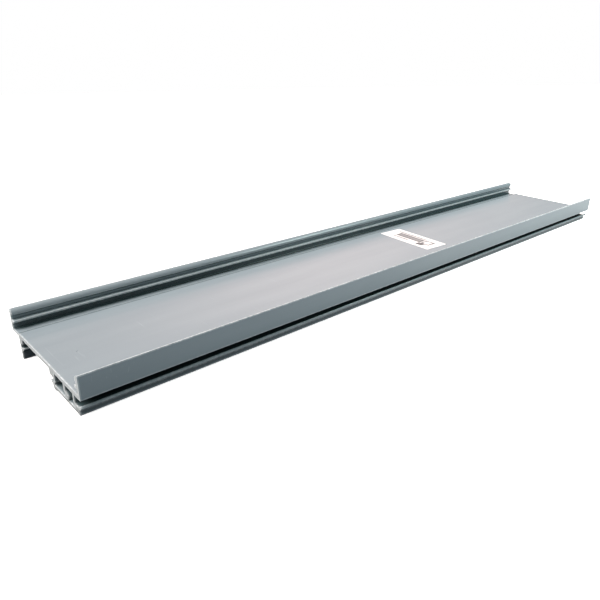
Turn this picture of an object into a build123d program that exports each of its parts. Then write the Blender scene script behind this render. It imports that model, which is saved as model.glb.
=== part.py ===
"""Extruded board carrier: a grey PVC channel with a spring foot that snaps onto a 35 mm rail."""

from build123d import *
import os

# Lengths are in millimetres. The section is drawn with y running from the front wall's outer
# face to the back wall's, and z counted from the underside of the floor.
length = 410.0
width = 70.0

# Floor, and the lowered strip along the back wall
floor_thick = 1.7
strip_thick = 1.1
strip_width = 6.2

# Side walls: a rib carries the board's edge, and a rounded bead holds it down
wall_height = 10.0
wall_thick = 1.7
bead_radius = 2.45
board_room = 2.0
rib_reach = 1.9
rib_thick = 1.3
rib_slope = 0.4

# Top-hat rail that the leg and the foot clip onto
rail_width = 35.0
rail_play = 0.4
seat_drop = 2.6
seat_width = 3.4
rail_grip = 2.1

# Back leg
leg_inset = 7.4
leg_thick = 1.6
leg_beyond = 3.4
nib_reach = 2.0
nib_nose = 0.5
nib_root = 2.2

# Fixed stop beside the front edge of the top-hat rail
stop_thick = 1.5
stop_drop = 1.3

# Hook of the spring foot
hook_setback = 1.1
hook_thick = 1.4
hook_reach = 2.1
hook_nose = 0.6
hook_root = 1.8
hook_foot = 1.5
hook_pad = 0.9

# Flange and front block of the spring foot
flange_thick = 1.4
block_draft = 0.5
block_height = 2.0
block_setback = 0.5

# Webs that carry the spring foot, and the release lip at its front
web_thick = 1.6
back_web_offset = 2.3
back_web_slant = 1.8
back_web_ankle = 1.6
lip_thick = 1.3
lip_rise = 1.3

# Places across the foot, as shares of the way from the front wall's face to the hook
lip_share = 0.035
block_share = 0.08
lip_knee_share = 0.13
front_web_share = 0.257
back_web_share = 0.593

# Rounds
edge_round = 0.25
back_round = 1.0
leg_round = 0.3
lip_round = 0.5
web_bend = 0.9

nose_level = wall_height - bead_radius
rib_top = nose_level - board_room
leg_outer = width - leg_inset
leg_inner = leg_outer - leg_thick
stop_face = leg_inner - rail_width - rail_play
hook_face = stop_face + hook_setback
hook_inner = hook_face - hook_thick
grip_level = -seat_drop - rail_grip
hook_bottom = grip_level - hook_root - hook_foot
foot_bottom = hook_bottom + hook_pad
leg_bottom = foot_bottom - leg_beyond
flange_top = foot_bottom + flange_thick
hook_round = 0.6 * (grip_level - flange_top)
front_web = front_web_share * hook_inner
back_web = back_web_share * hook_inner
lip_knee = lip_knee_share * hook_inner
lip_bend = 0.45 * (front_web - lip_knee)
block_back = front_web - block_setback
root = 0.5 * strip_thick


def block(y_low, y_high, z_low, z_high):
    """Rectangle of the section between two values of y and two of z."""
    middle = Pos((y_low + y_high) / 2, (z_low + z_high) / 2)
    return middle * Rectangle(y_high - y_low, z_high - z_low)


def outline(*points):
    """Straight-sided piece of the section through the given corners."""
    return Polygon(*points, align=None)


def band(points, thick, bend):
    """Strip of even thickness along a centre line with rounded bends."""
    return trace(FilletPolyline(*points, radius=bend), line_width=thick)


def rounded(piece, radius, *corners):
    """Piece with a round at each of the given corners."""
    for y, z in corners:
        corner = piece.vertices().sort_by_distance((y, z, 0))[0]
        piece = fillet(corner, radius)
    return piece


def wall():
    """Front wall with its rib, and the quarter-round bead along its top."""
    nose = (bead_radius, nose_level)
    tip_over = (wall_thick + rib_reach, rib_top - rib_slope)
    tip_under = (wall_thick + rib_reach, rib_top - rib_thick)
    sides = Polyline(
        nose,
        (wall_thick, nose_level - bead_radius + wall_thick),
        (wall_thick, rib_top),
        tip_over,
        tip_under,
        (wall_thick, rib_top - rib_thick),
        (wall_thick, 0),
        (0, 0),
        (0, wall_height),
    )
    bead = TangentArc((0, wall_height), nose, tangent=(1, 0))
    return rounded(make_face([sides, bead]), edge_round, nose, tip_over, tip_under)


def floor():
    """Floor plate, lowered beside the back wall."""
    step = width - wall_thick - strip_width
    return block(0, step, 0, floor_thick) + block(step, width, 0, strip_thick)


def back_leg():
    """Long fixed leg, the shoulder that the top-hat rail seats on and the nib below it."""
    leg = block(leg_inner, leg_outer, leg_bottom, root)
    leg = rounded(leg, leg_round, (leg_inner, leg_bottom), (leg_outer, leg_bottom))
    shoulder = block(leg_inner - nib_reach, leg_outer, -seat_drop, root)
    nib_tip = (leg_inner - nib_reach, grip_level - nib_nose)
    nib = outline(
        (leg_outer, grip_level),
        (leg_inner - nib_reach, grip_level),
        nib_tip,
        (leg_inner, grip_level - nib_root),
        (leg_outer, grip_level - nib_root),
    )
    return leg + shoulder + rounded(nib, edge_round, nib_tip)


def front_stop():
    """Fixed seat over the top-hat rail's front edge, and the stop beside that edge."""
    outer_side = stop_face - stop_thick
    stop_end = -seat_drop - stop_drop
    seat = block(outer_side, stop_face + seat_width, -seat_drop, root)
    stop = block(outer_side, stop_face, stop_end, root)
    return seat + rounded(stop, edge_round, (outer_side, stop_end), (stop_face, stop_end))


def hook():
    """Upright of the foot, with the nose that snaps in under the top-hat rail's front edge."""
    nose = (hook_face + hook_reach, grip_level - hook_nose)
    upright = outline(
        (hook_inner, hook_bottom),
        (hook_face, hook_bottom),
        (hook_face, grip_level - hook_root),
        nose,
        (hook_face + hook_reach, grip_level),
        (hook_inner, grip_level),
    )
    return rounded(upright, edge_round, nose)


def flange():
    """Bottom plate of the foot, thicker below the hook."""
    return outline(
        (block_back - web_thick, foot_bottom),
        (hook_inner - 3 * hook_pad, foot_bottom),
        (hook_inner, hook_bottom),
        (hook_face, hook_bottom),
        (hook_face, flange_top),
        (block_back - web_thick, flange_top),
    )


def front_block():
    """Solid front of the foot, below the release lip."""
    corner = (block_share * hook_inner, foot_bottom)
    solid = outline(
        corner,
        (block_back, foot_bottom),
        (block_back, foot_bottom + block_height),
        (block_share * hook_inner + block_draft, foot_bottom + block_height),
    )
    return rounded(solid, edge_round, corner)


def lip_and_front_web():
    """Front web, which bends forwards and ends in the upturned release lip."""
    level = foot_bottom + block_height + 0.4 * lip_thick
    end = (lip_share * hook_inner, level + lip_rise)
    points = [(front_web, root), (front_web, level), (lip_knee, level), end]
    strip = band(points, lip_thick, lip_bend)
    return rounded(strip, lip_round, (0, level), (end[0], end[1] + lip_thick))


def back_web_strip():
    """Back web, which is joggled towards the front on its way down to the flange."""
    seated = foot_bottom + flange_thick / 2
    ankle = seated + back_web_ankle
    points = [
        (back_web, root),
        (back_web, ankle + back_web_slant),
        (back_web - back_web_offset, ankle),
        (back_web - back_web_offset, seated),
    ]
    return band(points, web_thick, web_bend)


def section():
    """Whole section of the rail in one face."""
    walls = wall() + mirror(wall(), Plane.YZ.offset(width / 2))
    webs = lip_and_front_web() + back_web_strip()
    foot = hook() + flange() + front_block() + webs
    whole = walls + floor() + back_leg() + front_stop() + foot
    whole = rounded(whole, hook_round, (hook_inner, flange_top))
    whole = rounded(whole, back_round, (width, 0))
    inner_corners = [
        (wall_thick, floor_thick),
        (width - wall_thick, strip_thick),
        (0, 0),
        (hook_face, hook_bottom),
    ]
    return rounded(whole, edge_round, *inner_corners)


profile = section()
placed = Plane.YZ * Pos(-width / 2, -leg_bottom) * profile
rail = Pos(-length / 2, 0, 0) * extrude(placed, amount=length, dir=(1, 0, 0))

os.makedirs("parts", exist_ok=True)
export_step(rail, "parts/rail.step")
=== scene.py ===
"""Extruded mounting rail in satin grey PVC, the paper label on its floor, and a plain stage."""

import math

import bmesh
import bpy
from mathutils import Matrix, Vector


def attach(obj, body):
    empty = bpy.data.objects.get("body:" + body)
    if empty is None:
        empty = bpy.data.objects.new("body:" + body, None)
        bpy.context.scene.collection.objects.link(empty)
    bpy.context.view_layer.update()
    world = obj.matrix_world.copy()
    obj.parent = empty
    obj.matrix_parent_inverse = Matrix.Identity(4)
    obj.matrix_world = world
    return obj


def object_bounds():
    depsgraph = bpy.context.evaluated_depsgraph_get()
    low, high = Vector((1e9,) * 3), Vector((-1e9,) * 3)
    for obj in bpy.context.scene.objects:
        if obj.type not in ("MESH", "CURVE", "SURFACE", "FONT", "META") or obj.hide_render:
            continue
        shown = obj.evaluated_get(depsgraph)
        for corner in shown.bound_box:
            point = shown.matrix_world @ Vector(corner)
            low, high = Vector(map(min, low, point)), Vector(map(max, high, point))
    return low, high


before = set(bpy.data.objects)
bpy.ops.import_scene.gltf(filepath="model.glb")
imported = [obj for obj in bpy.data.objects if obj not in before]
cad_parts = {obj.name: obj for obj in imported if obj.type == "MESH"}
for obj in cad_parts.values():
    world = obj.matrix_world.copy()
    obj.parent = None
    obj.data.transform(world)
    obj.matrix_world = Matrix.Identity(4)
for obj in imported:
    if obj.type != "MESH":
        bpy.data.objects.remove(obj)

bl_info = {
    "name": "Mounting Rail",
    "version": (1, 0, 0),
    "blender": (4, 5, 0),
    "location": "3D View > Sidebar > Mounting Rail",
    "description": "Finishes the extruded rail in satin PVC and adds its label, stage and camera",
    "category": "Object",
}

CAD_LOW, CAD_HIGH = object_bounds()

# Length of one wave of the wave texture at a scale of 1
WAVE_PERIOD = 0.314

# Printed boxes and rules of the label's empty form, as shares of its width and length:
# middle across, middle along, half width, half length, and how grey the box is filled.
# A rule has a half width of 0.
FORM_BOXES = (
    (0.27, 0.10, 0.0, 0.28, 0.0),
    (0.03, 0.06, 0.12, 0.24, 0.75),
    (0.04, -0.30, 0.16, 0.07, 0.0),
    (-0.24, -0.25, 0.07, 0.05, 0.9),
    (-0.24, 0.16, 0.0, 0.14, 0.0),
)


# Settings


class PlasticSettings(bpy.types.PropertyGroup):
    """Sizes and colours of the extruded plastic."""

    colour: bpy.props.FloatVectorProperty(
        name="Colour",
        description="Colour of the PVC",
        subtype="COLOR",
        size=3,
        min=0,
        max=1,
        default=(0.19, 0.235, 0.255),
    )
    dark_colour: bpy.props.FloatVectorProperty(
        name="Flow colour",
        description="Colour of the slightly darker streaks that the melt leaves along the rail",
        subtype="COLOR",
        size=3,
        min=0,
        max=1,
        default=(0.172, 0.215, 0.236),
    )
    cut_colour: bpy.props.FloatVectorProperty(
        name="Cut colour",
        description="Colour of the sawn ends, which are duller and paler than the skin",
        subtype="COLOR",
        size=3,
        min=0,
        max=1,
        default=(0.31, 0.345, 0.345),
    )
    worn_colour: bpy.props.FloatVectorProperty(
        name="Worn colour",
        description="Colour of rubbed edges and scuffs",
        subtype="COLOR",
        size=3,
        min=0,
        max=1,
        default=(0.58, 0.64, 0.65),
    )
    # Painted shade: this colour darkens corners, grooves and recesses, where shade falls, and the
    # line along the floor's step; it also colours the real dust specks and the nick.
    shade_and_dust_colour: bpy.props.FloatVectorProperty(
        name="Grime colour",
        description="Colour of the dust and grime that settles in corners and grooves",
        subtype="COLOR",
        size=3,
        min=0,
        max=1,
        default=(0.018, 0.04, 0.041),
    )
    roughness: bpy.props.FloatProperty(
        name="Roughness", description="Roughness of the satin skin", default=0.25, min=0, max=1
    )
    cut_roughness: bpy.props.FloatProperty(
        name="Cut roughness",
        description="Roughness of the sawn ends",
        default=0.62,
        min=0,
        max=1,
    )
    roughness_range: bpy.props.FloatProperty(
        name="Roughness range",
        description="How far the skin's roughness varies to either side from place to place",
        default=0.015,
        min=0,
        max=1,
    )
    line_pitch: bpy.props.FloatProperty(
        name="Die line pitch",
        description="Mean distance between the fine lines that the die leaves",
        subtype="DISTANCE",
        unit="LENGTH",
        default=0.0007,
    )
    skin_depth: bpy.props.FloatProperty(
        name="Skin depth",
        description="Depth of the pebbled skin and of the die lines",
        subtype="DISTANCE",
        unit="LENGTH",
        default=0.00003,
    )
    wear_width: bpy.props.FloatProperty(
        name="Wear width",
        description="Width of the rubbed strip along an edge",
        subtype="DISTANCE",
        unit="LENGTH",
        default=0.0008,
    )
    # Reach of the painted shade out of corners and grooves.
    shade_reach: bpy.props.FloatProperty(
        name="Grime reach",
        description="How far out of a corner or a groove the grime reaches",
        subtype="DISTANCE",
        unit="LENGTH",
        default=0.007,
    )
    saw_radius: bpy.props.FloatProperty(
        name="Saw radius",
        description="Radius of the saw blade whose arcs show on the cut ends",
        subtype="DISTANCE",
        unit="LENGTH",
        default=0.125,
    )
    saw_pitch: bpy.props.FloatProperty(
        name="Saw mark pitch",
        description="Distance between the saw marks on the cut ends",
        subtype="DISTANCE",
        unit="LENGTH",
        default=0.0005,
    )
    saw_depth: bpy.props.FloatProperty(
        name="Saw mark depth",
        description="Depth of the saw marks",
        subtype="DISTANCE",
        unit="LENGTH",
        default=0.00008,
    )
    # Place of the floor's step; a painted shadow line lies along it.
    step_place: bpy.props.FloatProperty(
        name="Step",
        description="Place across the rail of the step in the floor, where a line of grime lies",
        subtype="DISTANCE",
        unit="LENGTH",
        default=0.0267,
    )
    # Width of the painted shadow line along the step, and the height above which it shows.
    step_shadow_width: bpy.props.FloatProperty(
        name="Step line width",
        description="Width of the line of grime along the step",
        subtype="DISTANCE",
        unit="LENGTH",
        default=0.0009,
    )
    step_shadow_level: bpy.props.FloatProperty(
        name="Step level",
        description="Height above which the line of grime along the step shows",
        subtype="DISTANCE",
        unit="LENGTH",
        default=0.011,
    )
    nick_place: bpy.props.FloatVectorProperty(
        name="Nick",
        description="Place of the small nick in the floor near its end",
        subtype="TRANSLATION",
        unit="LENGTH",
        size=3,
        default=(-0.1928, -0.0031, 0.0122),
    )
    nick_size: bpy.props.FloatProperty(
        name="Nick size",
        description="Length of the nick",
        subtype="DISTANCE",
        unit="LENGTH",
        default=0.0009,
    )
    nick_depth: bpy.props.FloatProperty(
        name="Nick depth",
        description="Depth of the nick",
        subtype="DISTANCE",
        unit="LENGTH",
        default=0.0002,
    )


class LabelSettings(bpy.types.PropertyGroup):
    """Size and place of the paper label."""

    width: bpy.props.FloatProperty(
        name="Width",
        description="Width of the label along the rail",
        subtype="DISTANCE",
        unit="LENGTH",
        default=0.0182,
    )
    length: bpy.props.FloatProperty(
        name="Length",
        description="Length of the label across the rail",
        subtype="DISTANCE",
        unit="LENGTH",
        default=0.0396,
    )
    thickness: bpy.props.FloatProperty(
        name="Thickness",
        description="Thickness of the paper with its adhesive",
        subtype="DISTANCE",
        unit="LENGTH",
        default=0.00012,
    )
    corner: bpy.props.FloatProperty(
        name="Corner radius",
        description="Radius of the label's corners",
        subtype="DISTANCE",
        unit="LENGTH",
        default=0.0008,
    )
    centre: bpy.props.FloatVectorProperty(
        name="Centre",
        description="Centre of the label on the floor, along and across the rail",
        subtype="TRANSLATION",
        unit="LENGTH",
        size=2,
        default=(0.0289, 0.0035),
    )
    turn: bpy.props.FloatProperty(
        name="Turn",
        description="Angle that the label is stuck on at",
        subtype="ANGLE",
        unit="ROTATION",
        default=math.radians(-4.0),
    )
    floor_level: bpy.props.FloatProperty(
        name="Floor level",
        description="Height of the rail's floor, which the label is stuck to",
        subtype="DISTANCE",
        unit="LENGTH",
        default=0.0122,
    )
    stroke: bpy.props.FloatProperty(
        name="Stroke",
        description="Thickness of the printed lines",
        subtype="DISTANCE",
        unit="LENGTH",
        default=0.0011,
    )
    colour: bpy.props.FloatVectorProperty(
        name="Colour",
        description="Colour of the paper",
        subtype="COLOR",
        size=3,
        min=0,
        max=1,
        default=(0.58, 0.58, 0.575),
    )
    ink: bpy.props.FloatVectorProperty(
        name="Ink",
        description="Colour of the empty printed form",
        subtype="COLOR",
        size=3,
        min=0,
        max=1,
        default=(0.03, 0.03, 0.035),
    )


class StageSettings(bpy.types.PropertyGroup):
    """Floor, lights and camera."""

    floor_colour: bpy.props.FloatVectorProperty(
        name="Floor colour",
        description="Colour of the plain floor",
        subtype="COLOR",
        size=3,
        min=0,
        max=1,
        default=(0.86, 0.86, 0.86),
    )
    near_glow: bpy.props.FloatProperty(
        name="Near glow",
        description="Light that the floor throws on the rail's near end",
        default=0.72,
        min=0,
    )
    far_glow: bpy.props.FloatProperty(
        name="Far glow",
        description="Light that the floor throws on the rail's far end",
        default=1.65,
        min=0,
    )
    glow_span: bpy.props.FloatVectorProperty(
        name="Glow span",
        description="Places along the rail where the floor's light starts and stops rising",
        subtype="TRANSLATION",
        unit="LENGTH",
        size=2,
        default=(-0.19, 0.04),
    )
    near_tint: bpy.props.FloatVectorProperty(
        name="Near tint",
        description="Colour of the floor's light at the rail's near end",
        subtype="COLOR",
        size=3,
        min=0,
        max=1,
        default=(0.86, 0.93, 1.0),
    )
    covered_span: bpy.props.FloatVectorProperty(
        name="Covered span",
        description="Distances from the rail's middle line between which the floor's light rises",
        subtype="TRANSLATION",
        unit="LENGTH",
        size=2,
        default=(0.022, 0.06),
    )
    covered_end: bpy.props.FloatProperty(
        name="Covered end",
        description="Distance along the rail from its middle where the floor's light is full again",
        subtype="DISTANCE",
        unit="LENGTH",
        default=0.24,
    )
    covered_level: bpy.props.FloatProperty(
        name="Covered level",
        description="Share of its light that the floor throws from right under the rail",
        subtype="FACTOR",
        default=0.15,
        min=0,
        max=1,
    )
    shadow_level: bpy.props.FloatProperty(
        name="Shadow level",
        description="How light the floor stays in the deepest shadow",
        subtype="FACTOR",
        default=0.72,
        min=0,
        max=1,
    )
    leg_point: bpy.props.FloatVectorProperty(
        name="Leg's foot",
        description="Across the rail and up: where the back leg stands on the floor",
        subtype="TRANSLATION",
        unit="LENGTH",
        size=2,
        default=(0.0268, 0.0),
    )
    front_point: bpy.props.FloatVectorProperty(
        name="Front corner",
        description="Across the rail and up: where the spring foot's front corner rests",
        subtype="TRANSLATION",
        unit="LENGTH",
        size=2,
        default=(-0.0329, 0.0034),
    )
    floor_radius: bpy.props.FloatProperty(
        name="Floor radius",
        description="Radius of the round floor",
        subtype="DISTANCE",
        unit="LENGTH",
        default=6.0,
    )
    key_strength: bpy.props.FloatProperty(
        name="Key strength", description="Strength of the main light", default=8.3, min=0
    )
    key_spread: bpy.props.FloatProperty(
        name="Key spread",
        description="Angle that the main light fills, which softens its shadows",
        subtype="ANGLE",
        unit="ROTATION",
        default=math.radians(60),
    )
    key_direction: bpy.props.FloatVectorProperty(
        name="Key direction",
        description="Direction towards the main light, high up beyond the near end",
        subtype="DIRECTION",
        size=3,
        default=(-0.5, 0.16, 0.85),
    )
    key_colour: bpy.props.FloatVectorProperty(
        name="Key colour",
        description="Colour of the main light",
        subtype="COLOR",
        size=3,
        min=0,
        max=1,
        default=(1.0, 0.9, 0.87),
    )
    sky_direction: bpy.props.FloatVectorProperty(
        name="Sky direction",
        description="Direction towards the bright part of the backdrop, which the rail mirrors",
        subtype="DIRECTION",
        size=3,
        default=(0.67, 0.74, 0.4),
    )
    sky_strength: bpy.props.FloatProperty(
        name="Sky strength",
        description="Strength of the backdrop's bright part",
        default=1.6,
        min=0,
    )
    sky_focus: bpy.props.FloatProperty(
        name="Sky focus",
        description="How narrow the backdrop's bright part is",
        default=12.0,
        min=0,
    )
    sky_colour: bpy.props.FloatVectorProperty(
        name="Sky colour",
        description="Colour of the backdrop's bright part",
        subtype="COLOR",
        size=3,
        min=0,
        max=1,
        default=(1.0, 0.7, 0.66),
    )
    side_card: bpy.props.FloatVectorProperty(
        name="Side card",
        description="Middle of the small soft light beside the rail's far end",
        subtype="TRANSLATION",
        unit="LENGTH",
        size=3,
        default=(0.30, -0.25, 0.30),
    )
    card_size: bpy.props.FloatProperty(
        name="Card size",
        description="Side of the small soft light",
        subtype="DISTANCE",
        unit="LENGTH",
        default=0.2,
    )
    card_power: bpy.props.FloatProperty(
        name="Card power", description="Power of the small soft light", default=1.4, min=0
    )
    card_colour: bpy.props.FloatVectorProperty(
        name="Card colour",
        description="Colour of the small soft light",
        subtype="COLOR",
        size=3,
        min=0,
        max=1,
        default=(0.82, 1.0, 0.98),
    )
    camera_place: bpy.props.FloatVectorProperty(
        name="Camera place",
        description="Where the camera stands",
        subtype="TRANSLATION",
        unit="LENGTH",
        size=3,
        default=(-0.25929, -0.20236, 0.12143),
    )
    camera_turn: bpy.props.FloatVectorProperty(
        name="Camera turn",
        description="The camera's rotation",
        subtype="EULER",
        unit="ROTATION",
        size=3,
        default=tuple(math.radians(a) for a in (66.0161, -1.2647, -42.2511)),
    )
    lens: bpy.props.FloatProperty(
        name="Lens", description="Focal length in millimetres", default=33.662
    )


# Node helpers


def new_group(name, inputs, output):
    """Shader node group with a vector input, the given float inputs and one float output."""
    group = bpy.data.node_groups.new(name, "ShaderNodeTree")
    group.interface.new_socket(name="Vector", in_out="INPUT", socket_type="NodeSocketVector")
    for label, default in inputs:
        socket = group.interface.new_socket(
            name=label, in_out="INPUT", socket_type="NodeSocketFloat"
        )
        socket.default_value = default
    group.interface.new_socket(name=output, in_out="OUTPUT", socket_type="NodeSocketFloat")
    start = group.nodes.new("NodeGroupInput")
    end = group.nodes.new("NodeGroupOutput")
    return group, start.outputs, end.inputs[0]


def add_node(tree, kind, **values):
    """New node in the tree with the given properties set."""
    node = tree.nodes.new(kind)
    for name, value in values.items():
        setattr(node, name, value)
    return node


def math_node(tree, operation, first, second=None, clamp=False):
    """Math node with its inputs linked, or set where a number is given."""
    node = add_node(tree, "ShaderNodeMath", operation=operation, use_clamp=clamp)
    for socket, value in zip(node.inputs, (first, second)):
        if value is None:
            continue
        if isinstance(value, (int, float)):
            socket.default_value = value
        else:
            tree.links.new(value, socket)
    return node.outputs[0]


def spread(tree, value, low, high, to_low=0.0, to_high=1.0):
    """Value moved from one range to another, clamped at both ends."""
    node = add_node(tree, "ShaderNodeMapRange")
    node.inputs["From Min"].default_value = low
    node.inputs["From Max"].default_value = high
    node.inputs["To Min"].default_value = to_low
    node.inputs["To Max"].default_value = to_high
    tree.links.new(value, node.inputs["Value"])
    return node.outputs[0]


def mapped(tree, vector, scale=(1, 1, 1), turn=(0, 0, 0), shift=(0, 0, 0)):
    """Coordinates scaled, turned and shifted."""
    node = add_node(tree, "ShaderNodeMapping")
    node.inputs["Scale"].default_value = scale
    node.inputs["Rotation"].default_value = turn
    node.inputs["Location"].default_value = shift
    tree.links.new(vector, node.inputs["Vector"])
    return node.outputs[0]


def noise(tree, vector, scale, detail=2.0):
    """Noise value at the given coordinates, around 0.5."""
    node = add_node(tree, "ShaderNodeTexNoise")
    node.inputs["Scale"].default_value = scale
    node.inputs["Detail"].default_value = detail
    tree.links.new(vector, node.inputs["Vector"])
    return node.outputs["Fac"]


def tinted(tree, below, colour, mask, share=1.0):
    """Colour laid over the one below by the mask, and by no more than the share."""
    if share < 1.0:
        mask = math_node(tree, "MULTIPLY", mask, share)
    node = add_node(tree, "ShaderNodeMix", data_type="RGBA")
    tree.links.new(below, node.inputs["A"])
    node.inputs["B"].default_value = colour4(colour)
    tree.links.new(mask, node.inputs["Factor"])
    return node.outputs["Result"]


def blend(tree, first, second, mask):
    """Mix of two plain colours by the mask."""
    node = add_node(tree, "ShaderNodeMix", data_type="RGBA")
    node.inputs["A"].default_value = colour4(first)
    node.inputs["B"].default_value = colour4(second)
    tree.links.new(mask, node.inputs["Factor"])
    return node.outputs["Result"]


def relief(tree, height, distance, strength, below=None):
    """Bump from a height, laid over the normal below."""
    node = add_node(tree, "ShaderNodeBump")
    node.inputs["Strength"].default_value = strength
    node.inputs["Distance"].default_value = distance
    tree.links.new(height, node.inputs["Height"])
    if below:
        tree.links.new(below, node.inputs["Normal"])
    return node.outputs[0]


def colour4(colour):
    """Colour with an alpha of 1."""
    return (*colour[:3], 1.0)


def placed(tree, group, vector, **values):
    """Output of a node group placed in a material, with plain values set on its inputs."""
    node = add_node(tree, "ShaderNodeGroup", node_tree=group)
    tree.links.new(vector, node.inputs["Vector"])
    for name, value in values.items():
        node.inputs[name].default_value = value
    return node.outputs[0]


def new_material(name):
    """Empty node material, its tree and its output's surface socket."""
    material = bpy.data.materials.new(name)
    material.use_nodes = True
    tree = material.node_tree
    tree.nodes.clear()
    output = tree.nodes.new("ShaderNodeOutputMaterial")
    return material, tree, output.inputs["Surface"]


# Effects that more than one material uses


def speck_group():
    """Sparse round specks of dust."""
    group, start, end = new_group(
        "dust specks", [("Spacing", 0.01), ("Share", 0.3), ("Size", 0.0002)], "Mask"
    )
    cells = add_node(group, "ShaderNodeTexVoronoi", feature="F1")
    group.links.new(start["Vector"], cells.inputs["Vector"])
    group.links.new(math_node(group, "DIVIDE", 1.0, start["Spacing"]), cells.inputs["Scale"])
    pick = add_node(group, "ShaderNodeSeparateColor")
    group.links.new(cells.outputs["Color"], pick.inputs["Color"])
    chosen = math_node(group, "LESS_THAN", pick.outputs[0], start["Share"])
    reach = math_node(group, "DIVIDE", start["Size"], start["Spacing"])
    own = math_node(group, "MULTIPLY", reach, pick.outputs[1])
    inside = math_node(group, "SUBTRACT", own, cells.outputs["Distance"])
    soft = math_node(group, "DIVIDE", inside, math_node(group, "MULTIPLY", own, 0.5), clamp=True)
    group.links.new(math_node(group, "MULTIPLY", soft, chosen), end)
    return group


def grain_group():
    """Fine grain: the pebbled skin of the plastic, or the fibres of paper."""
    group, start, end = new_group("fine grain", [("Size", 0.0003), ("Softness", 0.5)], "Height")
    grain = add_node(group, "ShaderNodeTexNoise")
    grain.inputs["Detail"].default_value = 3
    group.links.new(start["Vector"], grain.inputs["Vector"])
    group.links.new(math_node(group, "DIVIDE", 1.0, start["Size"]), grain.inputs["Scale"])
    group.links.new(start["Softness"], grain.inputs["Roughness"])
    group.links.new(grain.outputs["Fac"], end)
    return group


def wear_group():
    """Mask of outer edges, broken up as rubbing leaves them."""
    group, start, end = new_group("edge wear", [("Width", 0.0005), ("Breakup", 700.0)], "Mask")
    buried = add_node(group, "ShaderNodeAmbientOcclusion", inside=True, samples=12)
    group.links.new(start["Width"], buried.inputs["Distance"])
    edge = spread(group, buried.outputs["AO"], 0.97, 0.6)
    patches = add_node(group, "ShaderNodeTexNoise")
    patches.inputs["Detail"].default_value = 3
    group.links.new(start["Vector"], patches.inputs["Vector"])
    group.links.new(start["Breakup"], patches.inputs["Scale"])
    rubbed = spread(group, patches.outputs["Fac"], 0.3, 0.7, to_low=0.25)
    group.links.new(math_node(group, "MULTIPLY", edge, rubbed), end)
    return group


def printed_group():
    """Outline of a printed box and its grey filling, or a rule where the box has no width."""
    names = ("Across", "Along", "Half Width", "Half Length", "Stroke", "Fill")
    group, start, end = new_group("printed box", [(name, 0.0) for name in names], "Mask")
    place = add_node(group, "ShaderNodeSeparateXYZ")
    group.links.new(start["Vector"], place.inputs[0])
    sides = []
    for axis, middle, half in ((0, "Across", "Half Width"), (1, "Along", "Half Length")):
        away = math_node(group, "SUBTRACT", place.outputs[axis], start[middle])
        away = math_node(group, "ABSOLUTE", away)
        sides.append(math_node(group, "SUBTRACT", away, start[half]))
    outside = math_node(group, "MAXIMUM", *sides)
    thick = math_node(group, "DIVIDE", start["Stroke"], 2.0)
    line = math_node(group, "LESS_THAN", math_node(group, "ABSOLUTE", outside), thick)
    inside = math_node(group, "LESS_THAN", outside, 0.0)
    filled = math_node(group, "MULTIPLY", inside, start["Fill"])
    group.links.new(math_node(group, "MAXIMUM", line, filled), end)
    return group


def shared(name, build):
    """Node group of that name, built the first time that it's asked for."""
    return bpy.data.node_groups.get(name) or build()


# Materials


def saw_marks(tree, place, settings):
    """Height of the arcs that the saw leaves on the cut ends.

    The blade's middle lies a radius below the rail, about in line with its front wall.
    """
    shift = (0, 0.3 * settings.saw_radius, settings.saw_radius)
    wave = add_node(tree, "ShaderNodeTexWave", wave_type="RINGS", rings_direction="X")
    wave.inputs["Scale"].default_value = WAVE_PERIOD / settings.saw_pitch
    wave.inputs["Distortion"].default_value = 1.6
    wave.inputs["Detail"].default_value = 2
    wave.inputs["Detail Scale"].default_value = 3
    tree.links.new(mapped(tree, place, shift=shift), wave.inputs["Vector"])
    return wave.outputs["Fac"]


def nick_mask(tree, place, settings):
    """Mask of the small nick in the floor, a short stroke along the rail."""
    away = add_node(tree, "ShaderNodeVectorMath", operation="SUBTRACT")
    tree.links.new(place, away.inputs[0])
    away.inputs[1].default_value = settings.nick_place
    narrow = mapped(tree, away.outputs[0], scale=(1.0, 2.6, 1.0))
    length = add_node(tree, "ShaderNodeVectorMath", operation="LENGTH")
    tree.links.new(narrow, length.inputs[0])
    half = settings.nick_size / 2
    return spread(tree, length.outputs["Value"], half, 0.5 * half)


def step_shadow_mask(tree, place, upper_face, settings):
    """Mask of the painted shadow line along the floor's step, on the upper faces."""
    axes = add_node(tree, "ShaderNodeSeparateXYZ")
    tree.links.new(place, axes.inputs[0])
    away = math_node(tree, "SUBTRACT", axes.outputs["Y"], settings.step_place)
    away = math_node(tree, "ABSOLUTE", away)
    half = settings.step_shadow_width / 2
    line = spread(tree, away, half, 0.6 * half)
    above = math_node(tree, "GREATER_THAN", axes.outputs["Z"], settings.step_shadow_level)
    return math_node(tree, "MULTIPLY", line, math_node(tree, "MULTIPLY", above, upper_face))


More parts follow.
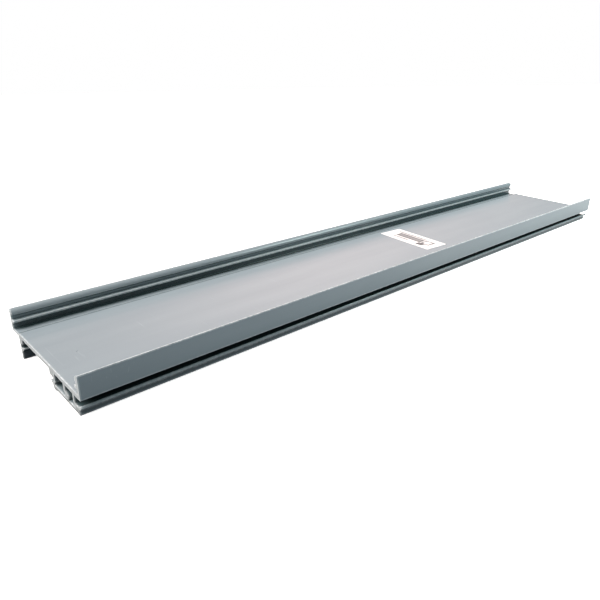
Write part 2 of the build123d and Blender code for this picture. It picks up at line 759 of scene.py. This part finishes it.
def plastic_material(settings):
    """Satin PVC with die lines along the rail, streaks, scuffs, worn edges, sawn ends and dust,
    with painted shade in corners and recesses and a painted shadow along the floor's step.
    """
    material, tree, surface = new_material("satin grey pvc")
    link = tree.links.new
    place = add_node(tree, "ShaderNodeTexCoord").outputs["Object"]

    across = mapped(tree, place, scale=(0, 1, 1))
    fine_lines = noise(tree, across, 1 / settings.line_pitch, 3)
    coarse_lines = noise(tree, across, 0.22 / settings.line_pitch, 1)
    deep_lines = spread(tree, coarse_lines, 0.64, 0.72)
    pebbles = placed(tree, shared("fine grain", grain_group), place, Size=0.00045, Softness=0.6)
    streaks = spread(tree, noise(tree, mapped(tree, place, scale=(0.1, 1, 1)), 95, 4), 0.35, 0.7)
    clouds = noise(tree, mapped(tree, place, scale=(0.5, 1, 1)), 30, 3)

    scratch_map = mapped(tree, place, scale=(1, 0.03, 0.3), turn=(0, 0, 0.7))
    scratches = spread(tree, noise(tree, scratch_map, 1500, 1), 0.69, 0.76)
    where = spread(tree, noise(tree, place, 45, 2), 0.52, 0.66)
    scuffs = math_node(tree, "MULTIPLY", scratches, where)

    normal = add_node(tree, "ShaderNodeNewGeometry").outputs["Normal"]
    facing = add_node(tree, "ShaderNodeSeparateXYZ")
    link(normal, facing.inputs[0])
    along_rail = math_node(tree, "ABSOLUTE", facing.outputs["X"])
    end_face = math_node(tree, "GREATER_THAN", along_rail, 0.9)
    upper_face = math_node(tree, "GREATER_THAN", facing.outputs["Z"], 0.5)
    sawn = saw_marks(tree, place, settings)

    worn = placed(tree, shared("edge wear", wear_group), place, Width=settings.wear_width)
    # Painted shade: occlusion darkens the colour in corners, grooves and recesses, where little
    # light reaches.
    corners = add_node(tree, "ShaderNodeAmbientOcclusion", samples=12)
    corners.inputs["Distance"].default_value = settings.shade_reach
    painted_shade = spread(tree, corners.outputs["AO"], 0.72, 0.42, to_high=0.88)
    specks = shared("dust specks", speck_group)
    dark_dust = placed(tree, specks, place, Spacing=0.014, Share=0.2, Size=0.0003)
    elsewhere = mapped(tree, place, shift=(0.31, 0.17, 0.07))
    pale_dust = placed(tree, specks, elsewhere, Spacing=0.009, Share=0.25, Size=0.00018)
    nick = nick_mask(tree, place, settings)
    # Painted shadow along the floor's step.
    step_shadow_line = step_shadow_mask(tree, place, upper_face, settings)

    skin = blend(tree, settings.colour, settings.dark_colour, streaks)
    skin = tinted(tree, skin, settings.dark_colour, spread(tree, clouds, 0.45, 0.75, to_high=0.6))
    skin = tinted(tree, skin, settings.worn_colour, scuffs, share=0.08)
    ridges = spread(tree, sawn, 0.5, 1.0, to_high=0.3)
    cut = blend(tree, settings.cut_colour, settings.worn_colour, ridges)
    whole = add_node(tree, "ShaderNodeMix", data_type="RGBA")
    link(skin, whole.inputs["A"])
    link(cut, whole.inputs["B"])
    link(end_face, whole.inputs["Factor"])
    # Painted shade in corners and recesses, laid over the colour.
    colour = tinted(tree, whole.outputs["Result"], settings.shade_and_dust_colour, painted_shade)
    colour = tinted(tree, colour, settings.worn_colour, worn, share=0.85)
    colour = tinted(tree, colour, settings.worn_colour, pale_dust, share=0.5)
    # Real dust specks and the nick, and the painted shadow along the floor's step, darkened with
    # the same colour as the painted shade.
    for marks in (dark_dust, nick, step_shadow_line):
        colour = tinted(tree, colour, settings.shade_and_dust_colour, marks, share=0.7)

    smoother = settings.roughness - settings.roughness_range
    duller = settings.roughness + settings.roughness_range
    rough = spread(tree, clouds, 0.3, 0.7, smoother, duller)
    rough = math_node(tree, "SUBTRACT", rough, math_node(tree, "MULTIPLY", worn, 0.05))
    dull = math_node(tree, "MULTIPLY", end_face, settings.cut_roughness - settings.roughness)
    rough = math_node(tree, "ADD", rough, dull)

    line_height = math_node(tree, "SUBTRACT", 1.0, deep_lines)
    nick_height = math_node(tree, "SUBTRACT", 1.0, nick)
    saw_height = math_node(tree, "MULTIPLY", sawn, end_face)
    shape = relief(tree, pebbles, settings.skin_depth, strength=0.05)
    shape = relief(tree, fine_lines, settings.skin_depth, strength=0.06, below=shape)
    shape = relief(tree, line_height, settings.skin_depth, strength=0.12, below=shape)
    shape = relief(tree, nick_height, settings.nick_depth, strength=0.8, below=shape)
    shape = relief(tree, saw_height, settings.saw_depth, strength=0.5, below=shape)

    shader = add_node(tree, "ShaderNodeBsdfPrincipled")
    shader.inputs["IOR"].default_value = 1.54
    link(colour, shader.inputs["Base Color"])
    link(rough, shader.inputs["Roughness"])
    link(shape, shader.inputs["Normal"])
    link(shader.outputs[0], surface)
    return material


def paper_material(settings):
    """Matt label paper with fine fibres, an empty printed form and a few specks."""
    material, tree, surface = new_material("label paper")
    link = tree.links.new
    place = add_node(tree, "ShaderNodeTexCoord").outputs["Object"]
    sheet_map = add_node(tree, "ShaderNodeUVMap", uv_map="form").outputs["UV"]
    fibres = placed(tree, shared("fine grain", grain_group), place, Size=0.0004, Softness=0.7)
    dust = placed(
        tree, shared("dust specks", speck_group), place, Spacing=0.009, Share=0.2, Size=0.0003
    )
    printed = None
    box = shared("printed box", printed_group)
    for across, along, half_width, half_length, fill in FORM_BOXES:
        mask = placed(
            tree,
            box,
            sheet_map,
            **{
                "Across": across * settings.width,
                "Along": along * settings.length,
                "Half Width": half_width * settings.width,
                "Half Length": half_length * settings.length,
                "Stroke": settings.stroke,
                "Fill": fill,
            },
        )
        printed = math_node(tree, "MAXIMUM", printed, mask) if printed else mask
    faded = math_node(tree, "MULTIPLY", printed, spread(tree, fibres, 0.3, 0.6, to_low=0.7))

    aged = [0.93 * channel for channel in settings.colour]
    colour = blend(tree, settings.colour, aged, spread(tree, fibres, 0.4, 0.7))
    colour = tinted(tree, colour, settings.ink, faded)
    colour = tinted(tree, colour, settings.ink, dust, share=0.4)
    worn = placed(tree, shared("edge wear", wear_group), place, Width=0.00008)
    colour = tinted(tree, colour, aged, worn, share=0.5)

    shader = add_node(tree, "ShaderNodeBsdfPrincipled")
    link(colour, shader.inputs["Base Color"])
    link(spread(tree, fibres, 0.3, 0.7, 0.5, 0.62), shader.inputs["Roughness"])
    link(relief(tree, fibres, distance=0.00002, strength=0.15), shader.inputs["Normal"])
    link(shader.outputs[0], surface)
    return material


def floor_material(settings):
    """Pale floor, seen from above only, that throws more light on the rail's far end.

    It throws less from under the rail, where the rail keeps the light off it.
    """
    material, tree, surface = new_material("pale floor")
    link = tree.links.new
    path = add_node(tree, "ShaderNodeLightPath").outputs["Is Camera Ray"]
    geometry = add_node(tree, "ShaderNodeNewGeometry")
    place = add_node(tree, "ShaderNodeSeparateXYZ")
    link(geometry.outputs["Position"], place.inputs[0])
    glow = add_node(tree, "ShaderNodeEmission")
    far_share = spread(tree, place.outputs["X"], *settings.glow_span)
    level = spread(tree, far_share, 0.0, 1.0, settings.near_glow, settings.far_glow)
    from_line = math_node(tree, "ABSOLUTE", place.outputs["Y"])
    from_middle = math_node(tree, "ABSOLUTE", place.outputs["X"])
    beside = spread(tree, from_line, *settings.covered_span)
    beyond = spread(tree, from_middle, CAD_HIGH[0], settings.covered_end)
    outside = math_node(tree, "MAXIMUM", beside, beyond)
    uncovered = spread(tree, outside, 0.0, 1.0, to_low=settings.covered_level)
    link(math_node(tree, "MULTIPLY", level, uncovered), glow.inputs["Strength"])
    link(blend(tree, settings.near_tint, (1, 1, 1), far_share), glow.inputs["Color"])
    seen = add_node(tree, "ShaderNodeBsdfDiffuse")
    seen.inputs["Color"].default_value = colour4(settings.floor_colour)
    lit = add_node(tree, "ShaderNodeEmission")
    lit.inputs["Strength"].default_value = settings.shadow_level
    soft = add_node(tree, "ShaderNodeAddShader")
    link(seen.outputs[0], soft.inputs[0])
    link(lit.outputs[0], soft.inputs[1])
    clear = add_node(tree, "ShaderNodeBsdfTransparent")
    mix = add_node(tree, "ShaderNodeMixShader")
    link(path, mix.inputs[0])
    link(glow.outputs[0], mix.inputs[1])
    link(soft.outputs[0], mix.inputs[2])
    sided = add_node(tree, "ShaderNodeMixShader")
    link(geometry.outputs["Backfacing"], sided.inputs[0])
    link(mix.outputs[0], sided.inputs[1])
    link(clear.outputs[0], sided.inputs[2])
    link(sided.outputs[0], surface)
    return material


# Pieces


def label_outline(width, length, radius, steps=6):
    """Corners of a rectangle with rounded corners, anticlockwise round its centre."""
    points = []
    for turn, (sx, sy) in enumerate(((1, 1), (-1, 1), (-1, -1), (1, -1))):
        centre = Vector((sx * (width / 2 - radius), sy * (length / 2 - radius), 0))
        for step in range(steps + 1):
            angle = math.radians(90) * (turn + step / steps)
            points.append(centre + radius * Vector((math.cos(angle), math.sin(angle), 0)))
    return points


def link_object(name, data):
    """New object with the mesh, lamp or camera in the scene."""
    piece = bpy.data.objects.new(name, data)
    bpy.context.scene.collection.objects.link(piece)
    return piece


def add_card(name, place, target, size, power, colour):
    """Square soft light that faces the target and isn't seen itself."""
    lamp = bpy.data.lights.new(name, "AREA")
    lamp.size = size
    lamp.energy = power
    lamp.color = colour
    card = link_object(name, lamp)
    card.location = place
    card.rotation_euler = (Vector(place) - target).to_track_quat("Z", "Y").to_euler()
    card.visible_camera = False


class RAIL_OT_finish_plastic(bpy.types.Operator):
    """Give the extruded rail its satin PVC finish"""

    bl_idname = "rail.finish_plastic"
    bl_label = "Finish Plastic"

    def execute(self, context):
        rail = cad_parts["rail"]
        rail.data.materials.clear()
        rail.data.materials.append(plastic_material(context.scene.rail_plastic))
        return {"FINISHED"}


class RAIL_OT_add_label(bpy.types.Operator):
    """Stick the blank paper label on the rail's floor"""

    bl_idname = "rail.add_label"
    bl_label = "Add Label"

    def execute(self, context):
        settings = context.scene.rail_label
        work = bmesh.new()
        points = label_outline(settings.width, settings.length, settings.corner)
        face = work.faces.new([work.verts.new(p) for p in points])
        raised = bmesh.ops.extrude_face_region(work, geom=[face])
        top = [v for v in raised["geom"] if isinstance(v, bmesh.types.BMVert)]
        bmesh.ops.translate(work, verts=top, vec=(0, 0, settings.thickness))
        bmesh.ops.recalc_face_normals(work, faces=work.faces)
        form = work.loops.layers.uv.new("form")
        for side in work.faces:
            for corner in side.loops:
                corner[form].uv = corner.vert.co.xy
        place = Matrix.Translation((*settings.centre, settings.floor_level))
        bmesh.ops.transform(
            work, matrix=place @ Matrix.Rotation(settings.turn, 4, "Z"), verts=work.verts
        )
        mesh = bpy.data.meshes.new("paper_label")
        work.to_mesh(mesh)
        work.free()
        label = link_object("paper_label", mesh)
        mesh.materials.append(paper_material(settings))
        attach(label, "root")
        return {"FINISHED"}


class RAIL_OT_add_stage(bpy.types.Operator):
    """Add the plain floor, the soft lights and the camera"""

    bl_idname = "rail.add_stage"
    bl_label = "Add Stage"

    def add_floor(self, settings):
        """Round floor that touches the back leg and the front corner of the foot."""
        back_foot = Vector((0, *settings.leg_point))
        across = Vector((0, *settings.front_point)) - back_foot
        lean = math.atan2(across.z, across.y) - math.pi
        gap = Vector((0, 0, 0.00005))
        place = Matrix.Translation(back_foot - gap) @ Matrix.Rotation(lean, 4, "X")
        work = bmesh.new()
        bmesh.ops.create_circle(work, cap_ends=True, segments=96, radius=settings.floor_radius)
        bmesh.ops.transform(work, matrix=place, verts=work.verts)
        mesh = bpy.data.meshes.new("stage_floor")
        work.to_mesh(mesh)
        work.free()
        floor = link_object("stage_floor", mesh)
        mesh.materials.append(floor_material(settings))

    def add_backdrop(self, scene, settings):
        """White backdrop that lights the rail mostly from behind its far end."""
        world = bpy.data.worlds.new("studio")
        scene.world = world
        world.use_nodes = True
        sky = world.node_tree
        sky.nodes.clear()
        ambient = add_node(sky, "ShaderNodeBackground")
        ambient.inputs["Color"].default_value = colour4(settings.sky_colour)
        toward = add_node(sky, "ShaderNodeVectorMath", operation="DOT_PRODUCT")
        toward.inputs[1].default_value = Vector(settings.sky_direction).normalized()
        ways = add_node(sky, "ShaderNodeTexCoord")
        sky.links.new(ways.outputs["Generated"], toward.inputs[0])
        patch = math_node(sky, "MAXIMUM", toward.outputs["Value"], 0.0)
        patch = math_node(sky, "POWER", patch, settings.sky_focus)
        level = math_node(sky, "MULTIPLY", patch, settings.sky_strength)
        sky.links.new(level, ambient.inputs["Strength"])
        backdrop = add_node(sky, "ShaderNodeBackground")
        backdrop.inputs["Color"].default_value = (1, 1, 1, 1)
        rays = add_node(sky, "ShaderNodeLightPath")
        choice = add_node(sky, "ShaderNodeMixShader")
        sky.links.new(rays.outputs["Is Camera Ray"], choice.inputs[0])
        sky.links.new(ambient.outputs[0], choice.inputs[1])
        sky.links.new(backdrop.outputs[0], choice.inputs[2])
        world_out = add_node(sky, "ShaderNodeOutputWorld")
        sky.links.new(choice.outputs[0], world_out.inputs["Surface"])

    def add_lights(self, settings):
        """Main light from above the near end, and a small card beside the far end.

        The main light isn't mirrored, because it would wash out the rail's satin floor.
        """
        lamp = bpy.data.lights.new("soft_key", "SUN")
        lamp.energy = settings.key_strength
        lamp.color = settings.key_colour
        lamp.angle = settings.key_spread
        key = link_object("soft_key", lamp)
        key.rotation_euler = Vector(settings.key_direction).to_track_quat("Z", "Y").to_euler()
        key.visible_glossy = False
        add_card(
            "side_card",
            settings.side_card,
            target=Vector((CAD_HIGH[0], 0, 0)),
            size=settings.card_size,
            power=settings.card_power,
            colour=settings.card_colour,
        )

    def add_camera(self, settings):
        """Camera at the viewing angle of the picture."""
        lens = bpy.data.cameras.new("camera")
        lens.lens = settings.lens
        lens.sensor_width = 36
        lens.clip_start = 0.01
        lens.clip_end = 50
        camera = link_object("camera", lens)
        camera.location = settings.camera_place
        camera.rotation_euler = settings.camera_turn
        return camera

    def execute(self, context):
        scene = context.scene
        settings = scene.rail_stage
        scene.view_settings.view_transform = "Standard"
        self.add_floor(settings)
        self.add_backdrop(scene, settings)
        self.add_lights(settings)
        scene.camera = self.add_camera(settings)
        return {"FINISHED"}


class RAIL_PT_parts(bpy.types.Panel):
    """Sidebar panel that lists the rail's pieces"""

    bl_label = "Mounting Rail"
    bl_idname = "RAIL_PT_parts"
    bl_space_type = "VIEW_3D"
    bl_region_type = "UI"
    bl_category = "Mounting Rail"

    def draw(self, context):
        scene = context.scene
        for operator, settings in (
            (RAIL_OT_finish_plastic, scene.rail_plastic),
            (RAIL_OT_add_label, scene.rail_label),
            (RAIL_OT_add_stage, scene.rail_stage),
        ):
            box = self.layout.box()
            for name in settings.__annotations__:
                box.prop(settings, name)
            box.operator(operator.bl_idname)


CLASSES = (
    PlasticSettings,
    LabelSettings,
    StageSettings,
    RAIL_OT_finish_plastic,
    RAIL_OT_add_label,
    RAIL_OT_add_stage,
    RAIL_PT_parts,
)


def register():
    """Registers the classes and hangs the settings on the scene."""
    for item in CLASSES:
        bpy.utils.register_class(item)
    bpy.types.Scene.rail_plastic = bpy.props.PointerProperty(type=PlasticSettings)
    bpy.types.Scene.rail_label = bpy.props.PointerProperty(type=LabelSettings)
    bpy.types.Scene.rail_stage = bpy.props.PointerProperty(type=StageSettings)


def unregister():
    """Removes the settings and the classes again."""
    for name in ("rail_plastic", "rail_label", "rail_stage"):
        delattr(bpy.types.Scene, name)
    for item in reversed(CLASSES):
        bpy.utils.unregister_class(item)


def main():
    """Finishes the rail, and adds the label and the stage."""
    register()
    bpy.ops.rail.finish_plastic()
    bpy.ops.rail.add_label()
    bpy.ops.rail.add_stage()


if __name__ == "__main__":
    main()
